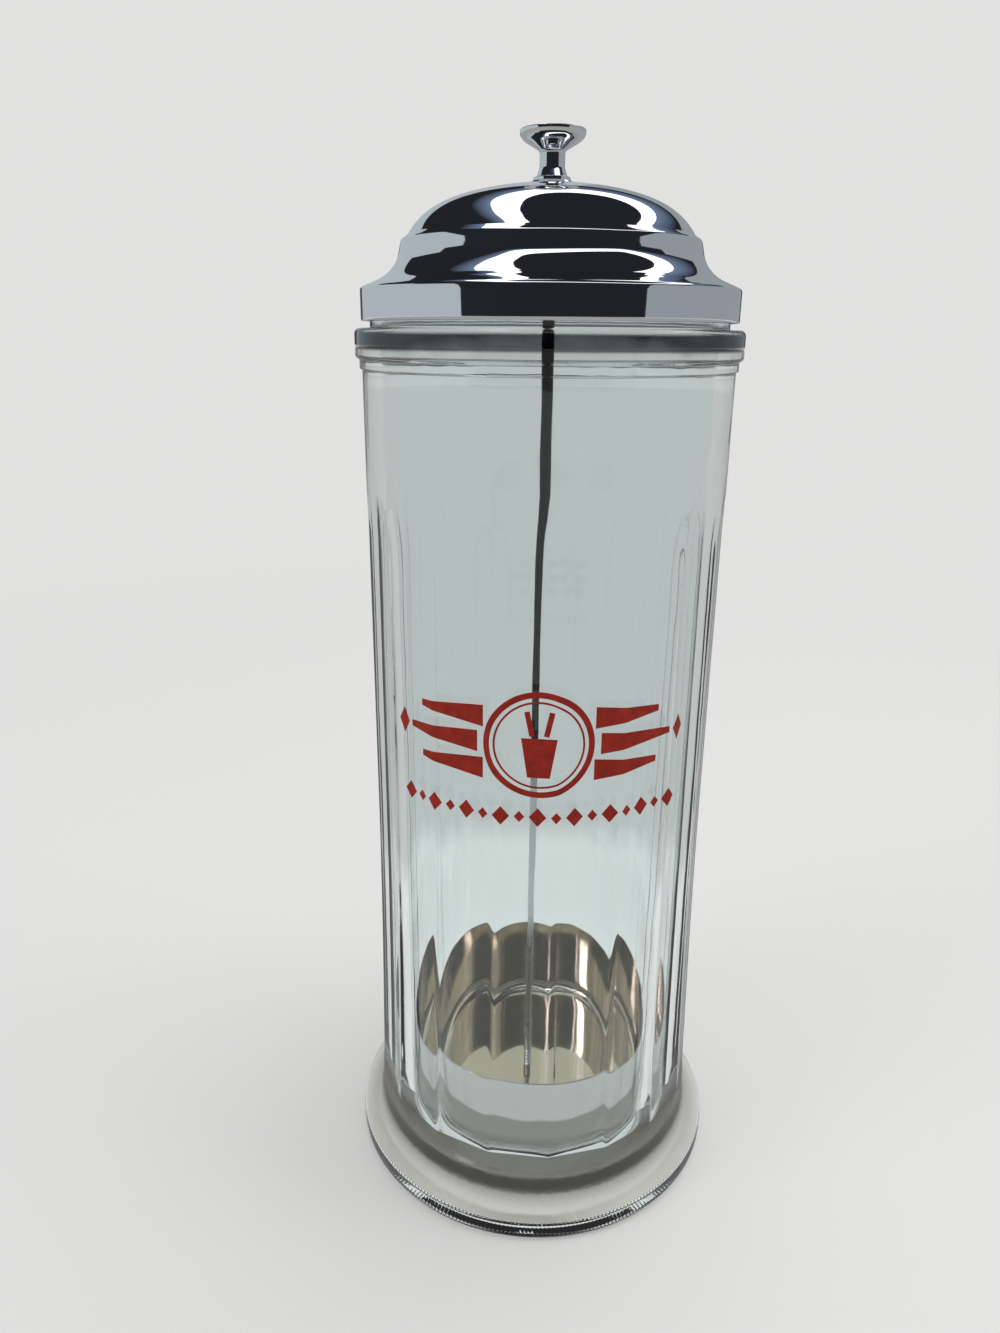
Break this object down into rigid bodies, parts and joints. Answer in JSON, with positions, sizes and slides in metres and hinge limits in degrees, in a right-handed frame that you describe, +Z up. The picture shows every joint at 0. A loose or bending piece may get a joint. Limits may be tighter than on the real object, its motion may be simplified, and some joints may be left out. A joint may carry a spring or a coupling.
{
  "type": "straw dispenser jar",
  "caption": "Panelled glass jar on a round foot with a bright pull-up lid; its knob lifts a rod and a steel cup of drinking straws.",
  "frame": {"origin": "centre of the foot, in the plane that the jar stands on", "axes": "+Z up along the rod, -Y towards the printed front, +X to the right seen from the front"},
  "size_m": [0.1068, 0.1068, 0.28],
  "materials": {
    "jar_glass": "clear pressed glass with a faint grey-green tint and a fire-polished surface",
    "lid_chrome": "bright mirror chrome plate",
    "cup_steel": "drawn stainless sheet, polished with faint upright streaks",
    "rod_steel": "bright plated steel"
  },
  "bodies": {
    "jar": {"glass_jar": "jar_glass"},
    "lid_carrier": {"lid_washer": "rod_steel"},
    "lid": {"lid_dome": "lid_chrome", "lid_knob": "lid_chrome", "lid_lock_nut": "rod_steel", "lift_rod": "rod_steel", "straw_cup": "cup_steel", "cup_washer": "rod_steel", "cup_lock_nut": "rod_steel"}
  },
  "joints": [
    {"name": "lid_lift", "type": "slide", "parent": "jar", "child": "lid_carrier", "axis": [0, 0, 1], "range_m": [0, 0.25]},
    {"name": "lid_spin", "type": "hinge", "parent": "lid_carrier", "child": "lid", "pos_m": [0, 0, 0.265], "axis": [0, 0, 1], "continuous": true}
  ]
}
